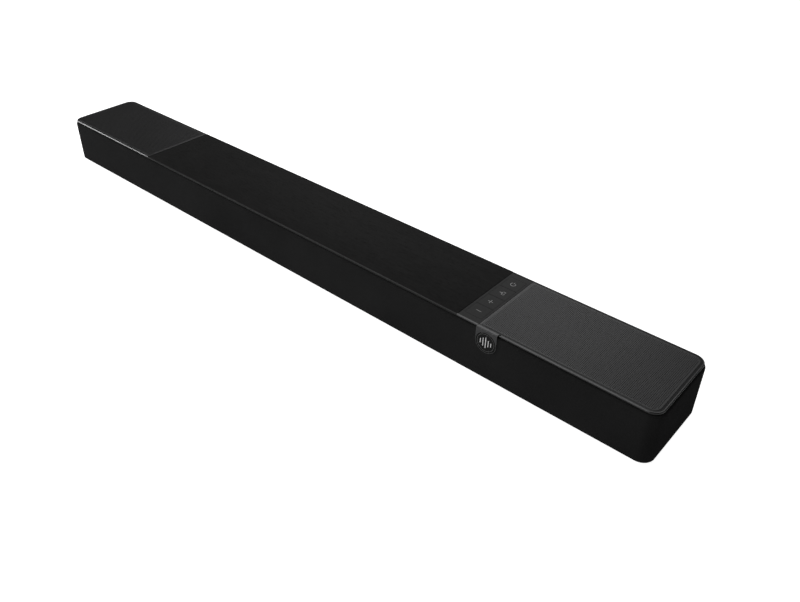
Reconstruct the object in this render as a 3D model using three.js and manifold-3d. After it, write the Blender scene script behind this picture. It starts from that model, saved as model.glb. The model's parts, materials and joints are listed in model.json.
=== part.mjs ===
// A three-channel soundbar with two up-facing woofers and two up-firing height drivers, as an assembly of
// separate pieces. Millimetres, +Z up, +X along the bar (to a listener's right), -Y towards the listener.
// The origin is the middle of the footprint, on the surface that the rubber feet stand on.
// Cutting solids reach 1 mm past the faces that they cut, and joined solids overlap by up to 1 mm.
import * as THREE from "three";
import { mergeVertices } from "three/addons/utils/BufferGeometryUtils.js";
import Module from "manifold-3d";

const wasm = await Module();
wasm.setup();

// ---------------------------------------------------------------- driving dimensions
const LENGTH = 1118; // over the cloth
const DEPTH = 124; // over the cloth, without the badge and the rear panel
const CORNER_R = 16; // plan radius of the cloth-covered corners
const FOOT_HEIGHT = 6.5; // from the table to the underside
const BODY_HEIGHT = 67.5; // from the underside to the top of the cloth
const SHADOW_GAP = 1.4; // groove between the cloth and the deck
const DECK_EDGE = 2.6; // visible side of the deck above the groove
const DECK_INSET = 2; // how far the deck's edge stands inside the cloth
const PROUD = 0.6; // how far the grilles stand above the wood
const FIT = 0.3; // clearance between neighbours
const CLOTH_T = 1;
const CARRIER_T = 2.2; // frame that carries the cloth
const WALL_T = 2.5; // housing walls and floor
const HOUSING_R = 8; // upright corners of the housing walls
const DECK_T = 2.2; // deck plate under the wood
const PANEL_T = 2; // wood panel and control panel

const GRILLE_SECTION = 226; // from the deck's end to the grille's inner seam
const CONTROL_WIDTH = 31; // from seam to seam
const SEAM = 0.6; // open joint between neighbouring top panels
const RIM_W = 1.6; // deck rim along the wood
const TRIM_W = 2; // satin end trim around each grille
const TRIM_CHAMFER = 0.7;
const TRIM_SEAT = 0.6; // trim's underside above the deck's lip
const TRIM_BELOW = 0.1; // trim and badge below the grilles' top
const GRILLE_T = 1.2;
const GRILLE_CHAMFER = 0.8;
const GRILLE_FOLD = 2; // folded-down edge of the grille sheet
const LEDGE_W = 4; // deck ledge that the grille rests on
const SCRIM_T = 0.4;

const BAFFLE_T = 2.6; // deck plate that the woofers hang from
const CARRIER_GAP = 4.5; // room between the cloth carrier and the front wall, for the driver flanges
const REAR_PROUD = 1; // the rear panel stands this far behind the cloth
const REAR_T = 2.5;
const REAR_GAP = 5; // room behind the rear panel for wall-screw heads
const REAR_END = 18; // from the cloth's end to the rear panel's end
const PORT_PANEL_MARGIN = 16; // from the outermost pockets to the port panel's joints

const KEY_NAMES = ["minus_key", "plus_key", "source_key", "power_key"];
const KEY_PITCH = 24.4;
const KEY_SIZE = 23.4; // square cap
const KEY_GAP = 0.3;
const KEY_LEDGE = 1; // of the deck below each edge of a cap
const KEY_STEM_R = 2.5;
const KEY_STEM_REACH = 3.4; // below the control panel
const SWITCH_R = 1.7;
const SWITCH_HALF = 3;
const KEY_TRAVEL = 0.5;
const KEY_SLACK = 0.15; // between the pressed stem and the switch

const BADGE_W = 29.5;
const BADGE_T = 0.7;
const BADGE_DROP = 17.5; // from the deck's top to the centre of the round end
const BADGE_DISC_R = 13.8;
const BADGE_NOTCH = 2.4; // opening in the right-hand trim beside the tab
const BADGE_FIT = 0.1;

const FOOT_R = 12;
const FOOT_SEAT = 1; // depth of the pocket that each foot sits in
const FOOT_END = 62; // foot centre from the cloth's end
const FOOT_SIDE = 24; // foot centre from the cloth's front and back

const WOOFER_R = 49; // flange
const WOOFER_DEPTH = 46;
const WOOFER_TRAVEL = 3;
const WOOFER_END = 70; // woofer centre from the cloth's end
const SMALL_R = 28.5; // 57 mm full-range drivers
const SMALL_DEPTH = 36;
const SMALL_TRAVEL = 1.5;
const HEIGHT_END = 168; // up-firing driver from the cloth's end
const HEIGHT_TILT = 15; // degrees towards the listener
const HEIGHT_DROP = 12.5; // driver face below the deck plate, at its centre
const COLLAR_DROP = 12; // how far the blank for a height driver's collar reaches below that face
const FRONT_OUTER_END = 300; // outer front driver from the cloth's end
const FRONT_INNER_X = 78; // centre-channel drivers, each side of the horn
const DRIVER_FLANGE_T = 2.4;
const DRIVER_SEAT_W = 3; // ring of the wall that a driver's flange lies against
const WOOFER_MOTOR = { radius: 30, height: 14, flange: 3 };
const SMALL_MOTOR = { radius: 16, height: 11, flange: DRIVER_FLANGE_T };
const CONE_T = 1;
const SURROUND_T = 0.8;
const SURROUND_W = 10;
const BULKHEAD_T = 2.5;
const BULKHEAD_ROOM = 16; // from a height driver to the inner bulkhead
const BULKHEAD_CLEAR = 1; // below the walls' top edge, for a foam seal

const HORN_W = 72;
const HORN_H = 52;
const HORN_BODY_DEPTH = 16;
const HORN_SEAT_W = 4; // ring of the wall that the horn's flange lies against
const HORN_RIM_W = 7; // plain flange at each end of the horn's mouth
const HORN_RIM_H = 5; // and above and below it
const DOME_R = 9.5;
const MOTOR_R = 19;
const MOTOR_H = 16;
const MOTOR_WELL = 3;

const SIGNAL_POCKET = { x: 0, width: 140, low: 16, high: 44 }; // heights above the underside
const POWER_POCKET = { x: 175, width: 44, low: 16, high: 44 };
const POCKET_DEPTH = 19;
const POCKET_WALL = 2;
const POCKET_R = 4;
const KEYHOLE_END = 95; // keyhole from the cloth's end
const KEYHOLE_Z = 46; // above the underside
const KEYHOLE_HEAD_R = 4.6;
const KEYHOLE_SLOT_R = 2.3;
const KEYHOLE_RISE = 9;

const SOCKETS = [
  { name: "hdmi_socket", x: -48, w: 17, h: 7, cutW: 14.4, cutH: 4.8, finish: "shell" },
  { name: "optical_socket", x: -10, w: 13, h: 11, cutW: 8.6, cutH: 8.6, finish: "plastic" },
];
const SOCKET_DEPTH = 13;
const SOCKET_LIP = 1.5; // how far each socket stands out of the pocket's floor
const SOCKET_MOUTH = 10; // depth of each socket's mouth
const JACK_X = 42;
const JACK_R = 4.8;
const JACK_BARREL_R = 4.2;
const JACK_BORE_R = 1.7;
const JACK_REACH = 8; // how far the barrel stands out of the pocket's floor
const JACK_BORE_DEPTH = 12;
const INLET_W = 23;
const INLET_H = 15;
const INLET_CUT_W = 18.6;
const INLET_CUT_H = 9.4;
const INLET_PIN_R = 1.2;
const INLET_PIN_X = 4.3; // pin centres from the inlet's middle

const BOARD_T = 1.6;
const BOARD_LIFT = 12; // board underside above the floor
const BOARD_FRONT = -8;
const BOARD_BACK_GAP = 2; // between a board and the pocket's wall
const PART_SINK = 0.2; // how far each part on a board reaches into it
const MAIN_BOARD = { x0: -105, x1: 62 };
const CHIPS = [
  { x: -86, y: 18, w: 22, d: 22, h: 2 },
  { x: -84, y: -1, w: 9, d: 9, h: 3 },
  { x: 48, y: 6, w: 14, d: 12, h: 2 },
  { x: 48, y: 22, w: 10, d: 5, h: 4 },
];
const SMALL_CAPACITOR = { places: [-62, -55], y: 0, radius: 3, height: 9 };
const POWER_BOARD = { left: 60, right: 62 }; // from the inlet's middle to the board's ends
const TRANSFORMER = { in: 6, w: 32, front: 4, d: 28, h: 24 };
const INDUCTOR = { in: 10, w: 16, front: 20, d: 20, h: 15 };
const RESERVOIR = { places: [54, 68, 82], front: 9, radius: 6, height: 21 };
const SINK = { x0: -44, x1: 32, plate: 3, top: 17, fins: 7, finT: 2, front: 2, back: 12 };

const DISPLAY_W = 66; // the window that the display shines through
const DISPLAY_H = 18;
const DISPLAY_EDGE = 4; // the module outside its window
const SCREW_R = 1.5;
const SCREW_HEAD_R = 3;
const SCREW_HEAD_H = 2;
const SCREW_LENGTH = 18;
const SCREW_HEAD_ROOM = 0.8; // round a screw head in its well
const SCREW_INSET = 14; // corner screw from the housing's end
const BOSS_R = 5.5;
const RIB_T = 2; // web from each boss to its wall
const BOSS_TOP = 31; // height of the screw shoulder above the floor
const ARC_STEPS = 5; // facets in a quarter of a plan corner
const BADGE_STEPS = 28;
const SMALL_ARC_STEPS = 2; // facets in a quarter of a small corner
const DRIVER_STEPS = 16;
const ROUND_STEPS = 16; // facets round a cylinder
const BORE_STEPS = 12;
const SCREW_STEPS = 8;

// ---------------------------------------------------------------- levels and faces worked out from them
const halfL = LENGTH / 2;
const halfD = DEPTH / 2;
const zUnder = FOOT_HEIGHT;
const zFloor = zUnder + WALL_T;
const zCloth = zUnder + BODY_HEIGHT;
const zLip = zCloth + SHADOW_GAP;
const zTop = zLip + DECK_EDGE;
const zPanel = zTop - PROUD;
const zPlate = zPanel - PANEL_T - FIT;
const zPlateLow = zPlate - DECK_T;
const zBaffleLow = zPlateLow - BAFFLE_T;
const zHousingTop = zBaffleLow - FIT;

const carrierOffset = CLOTH_T + FIT;
const housingOffset = carrierOffset + CARRIER_T + FIT;
const frontWallY = -halfD + housingOffset + CARRIER_GAP;
const rearFace = halfD + REAR_PROUD;
const rearWallY = rearFace - REAR_T - REAR_GAP;
const insideFrontY = frontWallY + WALL_T;
const insideRearY = rearWallY - WALL_T;
const rearPanelX = halfL - REAR_END;
const insideEndX = halfL - housingOffset - WALL_T;

const deckX = halfL - DECK_INSET;
const deckY = halfD - DECK_INSET;
const deckR = CORNER_R - DECK_INSET;
const grilleSeamX = deckX - GRILLE_SECTION;
const controlSeamX = grilleSeamX - CONTROL_WIDTH;

const wooferX = halfL - WOOFER_END;
const wooferY = (insideFrontY + insideRearY) / 2;
const heightX = halfL - HEIGHT_END;
const frontOuterX = halfL - FRONT_OUTER_END;
const outerBulkheadX = (wooferX - WOOFER_R + heightX + SMALL_R) / 2;
const innerBulkheadX = heightX - SMALL_R - BULKHEAD_ROOM;
const hornZ = (zFloor + zHousingTop) / 2;

// ---------------------------------------------------------------- shape helpers
// A three.js geometry as a manifold-3d solid, so that it can be cut and joined.
function solid(geometry) {
  const bare = geometry.clone();
  bare.deleteAttribute("normal");
  bare.deleteAttribute("uv");
  const merged = mergeVertices(bare, 1e-4);
  return new wasm.Manifold(
    new wasm.Mesh({
      numProp: 3,
      vertProperties: new Float32Array(merged.attributes.position.array),
      triVerts: new Uint32Array(merged.index.array),
    }),
  );
}

function geometryOf(manifold) {
  const mesh = manifold.getMesh();
  const places = new Float32Array(mesh.numVert * 3);
  for (let i = 0; i < mesh.numVert; i++)
    places.set(mesh.vertProperties.subarray(i * mesh.numProp, i * mesh.numProp + 3), i * 3);
  return new THREE.BufferGeometry()
    .setAttribute("position", new THREE.BufferAttribute(places, 3))
    .setIndex(new THREE.BufferAttribute(new Uint32Array(mesh.triVerts), 1));
}

const without = (body, ...cuts) => cuts.reduce((left, cut) => left.subtract(cut), body);

// An upright rectangle outline with round corners.
function roundRect(x0, x1, y0, y1, r) {
  const shape = new THREE.Shape();
  if (r <= 0) {
    shape.moveTo(x0, y0).lineTo(x1, y0).lineTo(x1, y1).lineTo(x0, y1);
    return shape;
  }
  shape.absarc(x1 - r, y0 + r, r, -Math.PI / 2, 0);
  shape.absarc(x1 - r, y1 - r, r, 0, Math.PI / 2);
  shape.absarc(x0 + r, y1 - r, r, Math.PI / 2, Math.PI);
  shape.absarc(x0 + r, y0 + r, r, Math.PI, Math.PI * 1.5);
  return shape;
}

// The cloth's plan outline, moved inwards by offset.
const bodyOutline = (offset) =>
  roundRect(-halfL + offset, halfL - offset, -halfD + offset, halfD - offset, CORNER_R - offset);

function prism(shape, z0, z1, curveSegments = ARC_STEPS) {
  const made = new THREE.ExtrudeGeometry(shape, { depth: z1 - z0, bevelEnabled: false, curveSegments });
  return solid(made.translate(0, 0, z0));
}

// A prism whose top edge is chamfered all round.
function chamferedPrism(x0, x1, y0, y1, r, z0, z1, chamfer) {
  const outline = roundRect(x0 + chamfer, x1 - chamfer, y0 + chamfer, y1 - chamfer, r);
  const made = new THREE.ExtrudeGeometry(outline, {
    depth: z1 - z0,
    bevelEnabled: true,
    bevelThickness: chamfer,
    bevelSize: chamfer,
    bevelSegments: 1,
    curveSegments: ARC_STEPS,
  });
  const long = solid(made.translate(0, 0, z0 - chamfer));
  return long.intersect(block(x0 - 1, x1 + 1, y0 - 1, y1 + 1, z0, z1));
}

function block(x0, x1, y0, y1, z0, z1) {
  const made = new THREE.BoxGeometry(x1 - x0, y1 - y0, z1 - z0);
  return solid(made.translate((x0 + x1) / 2, (y0 + y1) / 2, (z0 + z1) / 2));
}

function post(r, z0, z1, x = 0, y = 0, steps = ROUND_STEPS) {
  const made = new THREE.CylinderGeometry(r, r, z1 - z0, steps);
  return solid(made.rotateX(Math.PI / 2).translate(x, y, (z0 + z1) / 2));
}

// A cylinder along Y, from y0 to y1.
function postAlongY(r, y0, y1, x, z, steps = ROUND_STEPS) {
  const made = new THREE.CylinderGeometry(r, r, y1 - y0, steps);
  return solid(made.translate(x, (y0 + y1) / 2, z));
}

// A profile of [radius, height] points turned about Z. It runs up the outside and back down the inside.
function turned(profile, steps = ROUND_STEPS) {
  const points = profile.map(([r, h]) => new THREE.Vector2(r, h));
  const made = new THREE.LatheGeometry(points, steps);
  return solid(made.rotateX(Math.PI / 2));
}

// Turns a solid that faces +Z at the origin to face the listener, with its face at (x, y, z).
const facingFront = (part, x, y, z) => part.rotate([90, 0, 0]).translate([x, y, z]);
const facingUp = (part, x, y, z, tilt = 0) => part.rotate([tilt, 0, 0]).translate([x, y, z]);

// ---------------------------------------------------------------- materials
const finishes = {
  cloth: [0x17181a, 0.95, 0],
  plastic: [0x1b1c1e, 0.6, 0],
  trim: [0x3a3b3d, 0.35, 0.8],
  grille: [0x333437, 0.45, 0.7],
  wood: [0x1d1a18, 0.55, 0],
  control: [0x2b2c2e, 0.5, 0],
  scrim: [0x070707, 1, 0],
  badge: [0x55575a, 0.3, 0.9],
  gloss: [0x050505, 0.08, 0],
  rubber: [0x111111, 0.85, 0],
  basket: [0x202124, 0.5, 0.6],
  cone: [0x3c3d40, 0.4, 0.6],
  board: [0x12301d, 0.6, 0],
  alloy: [0xa8abb0, 0.4, 0.9],
  shell: [0xb8bbc0, 0.3, 1],
  screw: [0x2a2a2c, 0.35, 0.9],
  motor: [0x6b6d70, 0.4, 0.9],
};
const materials = Object.fromEntries(
  Object.entries(finishes).map(([name, [color, roughness, metalness]]) => [
    name,
    new THREE.MeshStandardMaterial({ name, color, roughness, metalness }),
  ]),
);

const soundbar = new THREE.Group();
soundbar.name = "soundbar";

function place(name, manifold, finish) {
  const mesh = new THREE.Mesh(geometryOf(manifold), materials[finish]);
  mesh.name = name;
  soundbar.add(mesh);
}

const sides = [
  { side: "left", sign: -1 },
  { side: "right", sign: 1 },
];
// A solid made for the right-hand end, or its mirror image for the left.
const onSide = (part, sign) => (sign > 0 ? part : part.mirror([1, 0, 0]));

// ---------------------------------------------------------------- screws, their bosses and their places
const cornerScrewX = halfL - housingOffset - SCREW_INSET;
const screwY = -halfD + housingOffset + CARRIER_GAP + WALL_T + BOSS_R + 1;
const rearScrewY = insideRearY - BOSS_R - 1;
const screwPlaces = [
  [-cornerScrewX, screwY],
  [cornerScrewX, screwY],
  [-cornerScrewX, rearScrewY],
  [cornerScrewX, rearScrewY],
];
const zShoulder = zFloor + BOSS_TOP;
const zBossTop = zShoulder + WALL_T;

function screw([x, y]) {
  const seat = zShoulder - FIT;
  const head = post(SCREW_HEAD_R, seat - SCREW_HEAD_H, seat, x, y, SCREW_STEPS);
  const shank = post(SCREW_R, seat - 0.5, zShoulder + SCREW_LENGTH, x, y, SCREW_STEPS);
  return head.add(shank);
}

// ---------------------------------------------------------------- base plate and inner housing
const frontDriverX = [-frontOuterX, -FRONT_INNER_X, FRONT_INNER_X, frontOuterX];
const smallHoleR = SMALL_R - DRIVER_SEAT_W;
const hornHoleW = HORN_W - HORN_SEAT_W * 2;
const hornHoleH = HORN_H - HORN_SEAT_W * 2;
const footX = halfL - FOOT_END;
const footY = halfD - FOOT_SIDE;

// A pocket in the rear panel with its walls, grown on every side, as a block through to the room behind it.
function pocketBlock(pocket, grow, y0, y1) {
  const half = pocket.width / 2 + grow;
  const shape = roundRect(-half, half, -grow, pocket.high - pocket.low + grow, POCKET_R + grow);
  return prism(shape, 0, y1 - y0, SMALL_ARC_STEPS)
    .rotate([90, 0, 0])
    .translate([pocket.x, y1, zUnder + pocket.low]);
}
const pockets = [SIGNAL_POCKET, POWER_POCKET];
const pocketFloorY = rearFace - POCKET_DEPTH;

// The underside: a flat plate with a shallow seat for each foot and a hole for each screwdriver.
function basePlate() {
  const behind = block(-rearPanelX, rearPanelX, 0, rearFace - REAR_T - FIT, zUnder, zFloor);
  const plate = prism(bodyOutline(housingOffset), zUnder, zFloor).add(behind);
  const wellR = SCREW_HEAD_R + SCREW_HEAD_ROOM;
  const cuts = screwPlaces.map(([x, y]) => post(wellR, zUnder - 1, zFloor + 1, x, y, SCREW_STEPS));
  for (const x of [-footX, footX])
    for (const y of [-footY, footY]) cuts.push(post(FOOT_R + FIT, zUnder - 1, zUnder + FOOT_SEAT, x, y));
  return without(plate, ...cuts);
}
place("base_plate", basePlate(), "plastic");

// The walls that stand on the base plate, with the bulkheads between the chambers and the screw bosses.
function innerHousing() {
  const low = zFloor + FIT;
  const endX = halfL - housingOffset;
  const outer = roundRect(-endX, endX, frontWallY, rearWallY, HOUSING_R);
  const inner = roundRect(-insideEndX, insideEndX, insideFrontY, insideRearY, HOUSING_R - WALL_T);
  const inside = prism(bodyOutline(housingOffset), low - 1, zHousingTop + 1);
  const wall = prism(outer, low, zHousingTop, SMALL_ARC_STEPS).intersect(inside);
  let body = wall.subtract(prism(inner, low - 1, zHousingTop + 1, SMALL_ARC_STEPS));
  for (const x of [outerBulkheadX, innerBulkheadX])
    for (const sign of [-1, 1]) {
      const across = [sign * x - BULKHEAD_T / 2, sign * x + BULKHEAD_T / 2];
      const levels = [low + BULKHEAD_CLEAR, zHousingTop - BULKHEAD_CLEAR];
      body = body.add(block(...across, insideFrontY - 1, insideRearY + 1, ...levels));
    }
  for (const [x, y] of screwPlaces) {
    const wallY = y < 0 ? insideFrontY - 1 : insideRearY + 1;
    const web = [Math.min(y, wallY), Math.max(y, wallY)];
    const rib = block(x - RIB_T / 2, x + RIB_T / 2, ...web, low + 1, zBossTop - 1);
    body = body.add(post(BOSS_R, low, zBossTop, x, y, SCREW_STEPS)).add(rib);
  }
  const cuts = [];
  for (const [x, y] of screwPlaces) {
    cuts.push(post(SCREW_HEAD_R + SCREW_HEAD_ROOM, low - 1, zShoulder, x, y, SCREW_STEPS));
    cuts.push(post(SCREW_R + FIT, zShoulder - 1, zBossTop + 1, x, y, SCREW_STEPS));
  }
  for (const x of frontDriverX)
    cuts.push(postAlongY(smallHoleR, frontWallY - 1, insideFrontY + 1, x, hornZ));
  const hornHole = [-hornHoleW / 2, hornHoleW / 2, frontWallY - 1, insideFrontY + 1];
  cuts.push(block(...hornHole, hornZ - hornHoleH / 2, hornZ + hornHoleH / 2));
  for (const pocket of pockets)
    cuts.push(pocketBlock(pocket, POCKET_WALL + FIT, insideRearY - 1, rearWallY + 1));
  return without(body, ...cuts);
}
place("inner_housing", innerHousing(), "plastic");

for (const [row, y] of [["front", -footY], ["rear", footY]])
  for (const { side, sign } of sides) {
    const top = zUnder + FOOT_SEAT - FIT;
    const foot = turned([
      [0, 0],
      [FOOT_R - 1, 0],
      [FOOT_R, 1],
      [FOOT_R, top],
      [0, top],
    ]);
    place(`foot_${row}_${side}`, foot.translate([sign * footX, y, 0]), "rubber");
  }

// ---------------------------------------------------------------- cloth and the frame that carries it
// The cloth and its carrier run round the front, the ends and the rear corners, and stop at the rear panel.
function wrap(offset, thickness, z0, z1) {
  const ring = prism(bodyOutline(offset), z0, z1).subtract(
    prism(bodyOutline(offset + thickness), z0 - 1, z1 + 1),
  );
  const gap = rearPanelX + FIT;
  return ring.subtract(block(-gap, gap, 0, halfD + 1, z0 - 1, z1 + 1));
}
place("fabric_wrap", wrap(0, CLOTH_T, zUnder + FIT, zCloth), "cloth");

const displayX = (FRONT_INNER_X + frontOuterX) / 2;
function clothCarrier() {
  const low = zUnder + FIT;
  const y0 = -halfD + carrierOffset - 1;
  const y1 = -halfD + housingOffset + 1;
  let frame = wrap(carrierOffset, CARRIER_T, low, zCloth - 1);
  for (const x of frontDriverX) frame = frame.subtract(postAlongY(SMALL_R - 1, y0, y1, x, hornZ));
  const opening = (x, w, h) => block(x - w / 2, x + w / 2, y0, y1, hornZ - h / 2, hornZ + h / 2);
  return without(frame, opening(0, HORN_W - 6, HORN_H - 4), opening(displayX, DISPLAY_W, DISPLAY_H));
}
place("cloth_carrier", clothCarrier(), "plastic");

// ---------------------------------------------------------------- port panel, rear covers and sockets
const boardZ = zFloor + BOARD_LIFT;
const socketZ = boardZ + BOARD_T + FIT;
const socketBackY = pocketFloorY - SOCKET_DEPTH + SOCKET_LIP;

const portPanelX0 = SIGNAL_POCKET.x - SIGNAL_POCKET.width / 2 - PORT_PANEL_MARGIN;
const portPanelX1 = POWER_POCKET.x + POWER_POCKET.width / 2 + PORT_PANEL_MARGIN;

// A stretch of the back cover, from x0 to x1.
const rearPlate = (x0, x1) => block(x0, x1, rearFace - REAR_T, rearFace, zUnder + FIT, zCloth - FIT);

// A block on the sockets' level, from y0 to y1, grown on its other four sides.
const socketBlock = (x, w, h, grow, y0, y1) =>
  block(x - w / 2 - grow, x + w / 2 + grow, y0, y1, socketZ - grow, socketZ + h + grow);

// A socket's body with a rectangular mouth in the middle of its rear face.
function socketBody(x, w, h, cutW, cutH) {
  const face = pocketFloorY + SOCKET_LIP;
  const z = socketZ + h / 2;
  const mouth = block(x - cutW / 2, x + cutW / 2, face - SOCKET_MOUTH, face + 1, z - cutH / 2, z + cutH / 2);
  return socketBlock(x, w, h, 0, socketBackY, face).subtract(mouth);
}

function portPanel() {
  let body = rearPlate(portPanelX0, portPanelX1);
  for (const pocket of pockets)
    body = body.add(pocketBlock(pocket, POCKET_WALL, pocketFloorY - POCKET_WALL, rearFace - 0.5));
  const cuts = pockets.map((pocket) => pocketBlock(pocket, 0, pocketFloorY, rearFace + 1));
  const through = [pocketFloorY - POCKET_WALL - 1, pocketFloorY + 1];
  for (const s of SOCKETS)
    cuts.push(socketBlock(s.x, s.w, s.h, FIT, ...through));
  cuts.push(postAlongY(JACK_R + FIT, ...through, JACK_X, socketZ + JACK_R));
  cuts.push(socketBlock(POWER_POCKET.x, INLET_W, INLET_H, FIT, ...through));
  return without(body, ...cuts);
}
place("port_panel", portPanel(), "plastic");

// One end of the back cover, with its keyhole for a wall screw.
function rearCover(x0, x1, keyholeX) {
  const z = zUnder + KEYHOLE_Z;
  const y = [rearFace - REAR_T - 1, rearFace + 1];
  return without(
    rearPlate(x0, x1),
    postAlongY(KEYHOLE_HEAD_R, ...y, keyholeX, z - KEYHOLE_RISE),
    postAlongY(KEYHOLE_SLOT_R, ...y, keyholeX, z),
    block(keyholeX - KEYHOLE_SLOT_R, keyholeX + KEYHOLE_SLOT_R, ...y, z - KEYHOLE_RISE, z),
  );
}
const keyholeX = halfL - KEYHOLE_END;
place("rear_cover_left", rearCover(-rearPanelX, portPanelX0 - FIT, -keyholeX), "plastic");
place("rear_cover_right", rearCover(portPanelX1 + FIT, rearPanelX, keyholeX), "plastic");

for (const s of SOCKETS) place(s.name, socketBody(s.x, s.w, s.h, s.cutW, s.cutH), s.finish);

// A phono jack: a threaded barrel with a bore down the middle, on a square foot.
function subOutJack() {
  const z = socketZ + JACK_R;
  const end = pocketFloorY + JACK_REACH;
  const footEnd = pocketFloorY - POCKET_WALL - FIT;
  const barrel = postAlongY(JACK_BARREL_R, socketBackY, end, JACK_X, z);
  const foot = block(JACK_X - JACK_R, JACK_X + JACK_R, socketBackY, footEnd, socketZ, z);
  const bore = postAlongY(JACK_BORE_R, end - JACK_BORE_DEPTH, end + 1, JACK_X, z, BORE_STEPS);
  return barrel.add(foot).subtract(bore);
}
place("sub_out_jack", subOutJack(), "shell");

// A two-pin mains inlet: a recessed block with both pins standing in it.
function powerInlet() {
  const z = socketZ + INLET_H / 2;
  const pinEnd = pocketFloorY + SOCKET_LIP - 2;
  let inlet = socketBody(POWER_POCKET.x, INLET_W, INLET_H, INLET_CUT_W, INLET_CUT_H);
  for (const x of [POWER_POCKET.x - INLET_PIN_X, POWER_POCKET.x + INLET_PIN_X])
    inlet = inlet.add(postAlongY(INLET_PIN_R, socketBackY + 1, pinEnd, x, z, BORE_STEPS));
  return inlet;
}
place("power_inlet", powerInlet(), "plastic");

// ---------------------------------------------------------------- circuit boards
const partsZ = boardZ + BOARD_T - PART_SINK;
const bareBoard = (x0, x1) =>
  block(x0, x1, BOARD_FRONT, pocketFloorY - POCKET_WALL - BOARD_BACK_GAP, boardZ, boardZ + BOARD_T);
const boxOnBoard = (x, y, w, d, h) => block(x, x + w, y, y + d, partsZ, partsZ + h);

// The main board carries the sockets on its rear edge, and its chips.
function mainBoard() {
  let board = bareBoard(MAIN_BOARD.x0, MAIN_BOARD.x1);
  for (const { x, y, w, d, h } of CHIPS) board = board.add(boxOnBoard(x - w / 2, y - d / 2, w, d, h));
  const { places, y, radius, height } = SMALL_CAPACITOR;
  for (const x of places) board = board.add(post(radius, partsZ, partsZ + height, x, y, BORE_STEPS));
  return board;
}
place("main_board", mainBoard(), "board");

function heatSink() {
  const z = boardZ + BOARD_T + FIT;
  const y = [BOARD_FRONT + SINK.front, socketBackY - SINK.back];
  const pitch = (SINK.x1 - SINK.x0 - SINK.finT) / (SINK.fins - 1);
  let sink = block(SINK.x0, SINK.x1, ...y, z, z + SINK.plate);
  for (let i = 0; i < SINK.fins; i++) {
    const x = SINK.x0 + i * pitch;
    sink = sink.add(block(x, x + SINK.finT, ...y, z + SINK.plate - 0.5, z + SINK.top));
  }
  return sink;
}
place("heat_sink", heatSink(), "alloy");

// The power board: transformer, inductor and reservoir capacitors behind the mains inlet.
function powerBoard() {
  const x0 = POWER_POCKET.x - POWER_BOARD.left;
  const x1 = POWER_POCKET.x + POWER_BOARD.right;
  const coil = [TRANSFORMER.w, TRANSFORMER.d, TRANSFORMER.h];
  const choke = [INDUCTOR.w, INDUCTOR.d, INDUCTOR.h];
  let board = bareBoard(x0, x1);
  board = board.add(boxOnBoard(x0 + TRANSFORMER.in, BOARD_FRONT + TRANSFORMER.front, ...coil));
  board = board.add(boxOnBoard(x1 - INDUCTOR.in - INDUCTOR.w, BOARD_FRONT + INDUCTOR.front, ...choke));
  const { places, front, radius, height } = RESERVOIR;
  for (const x of places)
    board = board.add(post(radius, partsZ, partsZ + height, x0 + x, BOARD_FRONT + front, ROUND_STEPS));
  return board;
}
place("power_board", powerBoard(), "board");

// ---------------------------------------------------------------- deck: frame, end trims and top panels
// The outline of one end of the deck, moved inwards, from x0 to the deck's round end.
function endOutline(x0, inset) {
  const r = deckR - inset;
  const x1 = deckX - inset;
  const y1 = deckY - inset;
  const shape = new THREE.Shape();
  shape.moveTo(x0, -y1).lineTo(x1 - r, -y1);
  shape.absarc(x1 - r, -y1 + r, r, -Math.PI / 2, 0);
  shape.absarc(x1 - r, y1 - r, r, 0, Math.PI / 2);
  shape.lineTo(x0, y1);
  return shape;
}

const skirtInset = housingOffset - DECK_INSET;
const grilleInset = TRIM_W + FIT;
const ledgeInset = grilleInset + LEDGE_W;
const zLedge = zTop - GRILLE_FOLD - FIT;
const zTrimLow = zLip + TRIM_SEAT;
const zTrimTop = zTop - TRIM_BELOW;
const keyHoleHalf = KEY_SIZE / 2 - KEY_LEDGE;
const keyPlaces = KEY_NAMES.map((name, i) => ({ name, y: (i - 1.5) * KEY_PITCH }));
const controlX = (grilleSeamX + controlSeamX) / 2;
const zStem = zPanel - PANEL_T - KEY_STEM_REACH;

const END_SPARE = 40; // how far a blank runs past the end that is cut off it
// The ring that an end trim sits in, from its inner seam x0 to the deck's end.
const trimRing = (x0, outer, inner, z0, z1) =>
  prism(endOutline(x0, outer), z0, z1).subtract(prism(endOutline(x0 - 1, inner), z0 - 1, z1 + 1));

const heightRotation = THREE.MathUtils.degToRad(HEIGHT_TILT);
const heightFaceZ = zPlateLow - HEIGHT_DROP;
const heightY = wooferY;

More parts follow.
